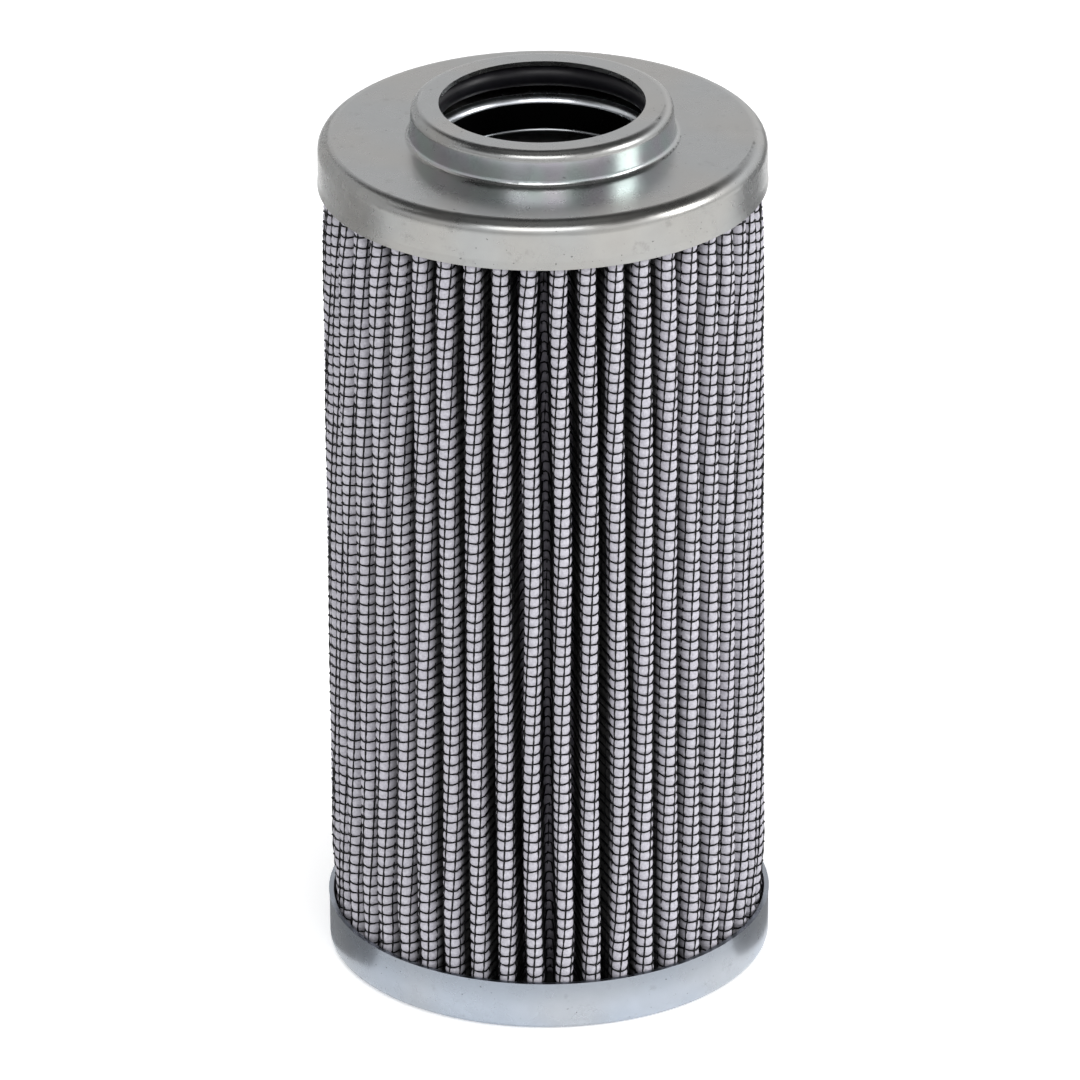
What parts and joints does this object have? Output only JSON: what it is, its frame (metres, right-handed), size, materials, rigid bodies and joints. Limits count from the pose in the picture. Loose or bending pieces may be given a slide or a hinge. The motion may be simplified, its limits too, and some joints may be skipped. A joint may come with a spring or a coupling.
{
  "type": "pleated filter element",
  "caption": "Cylindrical pleated filter element with pressed steel end caps, a black wire mesh over white folded media, and a sealed bore in its top collar.",
  "frame": {"origin": "centre of the closed cap's flat underside", "axes": "+Z along the bore, from the closed cap to the open collar"},
  "size_m": [0.066, 0.066, 0.1351],
  "materials": {
    "plated_steel": "satin zinc plating",
    "core_steel": "dull",
    "coated_mesh": "black coating",
    "plain_mesh": "dull",
    "white_media": "matte fibre",
    "black_rubber": "smooth",
    "adhesive": "matte"
  },
  "bodies": {
    "root": {"top_end_cap": "plated_steel", "bottom_end_cap": "plated_steel", "seal_ring": "black_rubber", "seal_retainer": "plated_steel", "core_tube": "core_steel", "outer_wire_mesh": "coated_mesh", "filter_media": "white_media", "inner_wire_mesh": "plain_mesh", "open_end_potting": "adhesive", "closed_end_potting": "adhesive"}
  },
  "joints": []
}
